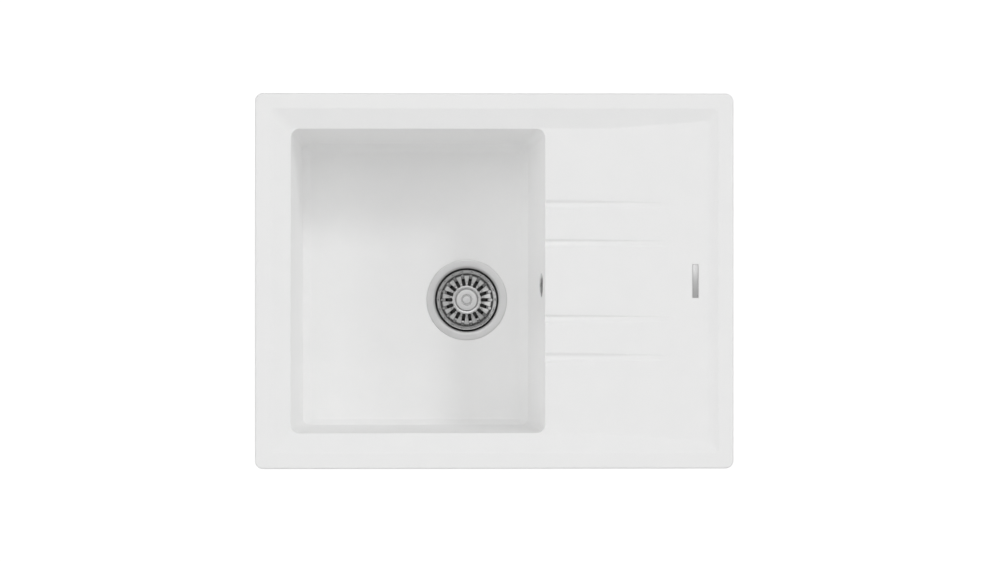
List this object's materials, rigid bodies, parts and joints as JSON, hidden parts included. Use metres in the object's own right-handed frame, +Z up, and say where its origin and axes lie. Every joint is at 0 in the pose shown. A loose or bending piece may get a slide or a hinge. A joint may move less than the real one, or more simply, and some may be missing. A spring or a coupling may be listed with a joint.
{
  "type": "kitchen sink with drainboard",
  "caption": "Inset kitchen sink in white composite with a deep bowl, grooved drainboard, basket strainer waste, overflow and worktop clips.",
  "frame": {"origin": "centre of the rim's outline, on the surface of the worktop that the rim lies on", "axes": "+X to the drainboard, +Y to the back of the worktop, +Z up"},
  "size_m": [0.65, 0.51, 0.2811],
  "materials": {
    "composite": "smooth matt moulded white composite",
    "satin_steel": "satin",
    "polished_steel": "polished",
    "zinc_steel": "zinc plated",
    "rubber": "matt",
    "foam": "closed-cell foam",
    "plastic": "moulded, faintly glossy",
    "brass": "turned"
  },
  "bodies": {
    "sink": {"sink_basin": "composite", "rim_seal": "foam", "blank_plate": "satin_steel", "waste_flange": "satin_steel", "flange_gasket": "rubber", "waste_centre_screw": "polished_steel", "waste_body": "plastic", "waste_body_gasket": "rubber", "screw_insert": "brass", "overflow_cover": "polished_steel", "overflow_cover_seal": "foam", "overflow_screw": "polished_steel", "overflow_gasket": "rubber", "overflow_elbow": "plastic", "overflow_hose": "plastic", "hose_nut_upper": "plastic", "hose_nut_lower": "plastic", "clip_bracket_rear_left": "zinc_steel", "bracket_fixing_rear_left": "zinc_steel", "clip_bracket_rear_right": "zinc_steel", "bracket_fixing_rear_right": "zinc_steel", "clip_bracket_front_left": "zinc_steel", "bracket_fixing_front_left": "zinc_steel", "clip_bracket_front_right": "zinc_steel", "bracket_fixing_front_right": "zinc_steel", "clip_bracket_left": "zinc_steel", "bracket_fixing_left": "zinc_steel", "clip_bracket_right": "zinc_steel", "bracket_fixing_right": "zinc_steel"},
    "basket": {"strainer_basket": "polished_steel", "basket_knob": "satin_steel", "basket_post": "polished_steel", "basket_stopper": "rubber", "stopper_nut": "zinc_steel"},
    "clip_screw_rear_left": {"clip_screw_rear_left": "zinc_steel"},
    "clip_claw_rear_left": {"clip_claw_rear_left": "zinc_steel"},
    "clip_screw_rear_right": {"clip_screw_rear_right": "zinc_steel"},
    "clip_claw_rear_right": {"clip_claw_rear_right": "zinc_steel"},
    "clip_screw_front_left": {"clip_screw_front_left": "zinc_steel"},
    "clip_claw_front_left": {"clip_claw_front_left": "zinc_steel"},
    "clip_screw_front_right": {"clip_screw_front_right": "zinc_steel"},
    "clip_claw_front_right": {"clip_claw_front_right": "zinc_steel"},
    "clip_screw_left": {"clip_screw_left": "zinc_steel"},
    "clip_claw_left": {"clip_claw_left": "zinc_steel"},
    "clip_screw_right": {"clip_screw_right": "zinc_steel"},
    "clip_claw_right": {"clip_claw_right": "zinc_steel"}
  },
  "joints": [
    {"name": "basket_lift", "type": "slide", "parent": "sink", "child": "basket", "axis": [0, 0, 1], "range_m": [0, 0.3]},
    {"name": "claw_swing_rear_left", "type": "hinge", "parent": "sink", "child": "clip_screw_rear_left", "pos_m": [-0.2, 0.234, -0.05], "axis": [0, 0, 1], "range_deg": [0, 90]},
    {"name": "claw_climb_rear_left", "type": "slide", "parent": "clip_screw_rear_left", "child": "clip_claw_rear_left", "axis": [0, 0, 1], "range_m": [0, 0.018]},
    {"name": "claw_swing_rear_right", "type": "hinge", "parent": "sink", "child": "clip_screw_rear_right", "pos_m": [0.2, 0.234, -0.05], "axis": [0, 0, 1], "range_deg": [0, 90]},
    {"name": "claw_climb_rear_right", "type": "slide", "parent": "clip_screw_rear_right", "child": "clip_claw_rear_right", "axis": [0, 0, 1], "range_m": [0, 0.018]},
    {"name": "claw_swing_front_left", "type": "hinge", "parent": "sink", "child": "clip_screw_front_left", "pos_m": [-0.2, -0.234, -0.05], "axis": [0, 0, 1], "range_deg": [0, 90]},
    {"name": "claw_climb_front_left", "type": "slide", "parent": "clip_screw_front_left", "child": "clip_claw_front_left", "axis": [0, 0, 1], "range_m": [0, 0.018]},
    {"name": "claw_swing_front_right", "type": "hinge", "parent": "sink", "child": "clip_screw_front_right", "pos_m": [0.2, -0.234, -0.05], "axis": [0, 0, 1], "range_deg": [0, 90]},
    {"name": "claw_climb_front_right", "type": "slide", "parent": "clip_screw_front_right", "child": "clip_claw_front_right", "axis": [0, 0, 1], "range_m": [0, 0.018]},
    {"name": "claw_swing_left", "type": "hinge", "parent": "sink", "child": "clip_screw_left", "pos_m": [-0.304, 0, -0.05], "axis": [0, 0, 1], "range_deg": [0, 90]},
    {"name": "claw_climb_left", "type": "slide", "parent": "clip_screw_left", "child": "clip_claw_left", "axis": [0, 0, 1], "range_m": [0, 0.018]},
    {"name": "claw_swing_right", "type": "hinge", "parent": "sink", "child": "clip_screw_right", "pos_m": [0.304, 0, -0.05], "axis": [0, 0, 1], "range_deg": [0, 90]},
    {"name": "claw_climb_right", "type": "slide", "parent": "clip_screw_right", "child": "clip_claw_right", "axis": [0, 0, 1], "range_m": [0, 0.018]}
  ]
}
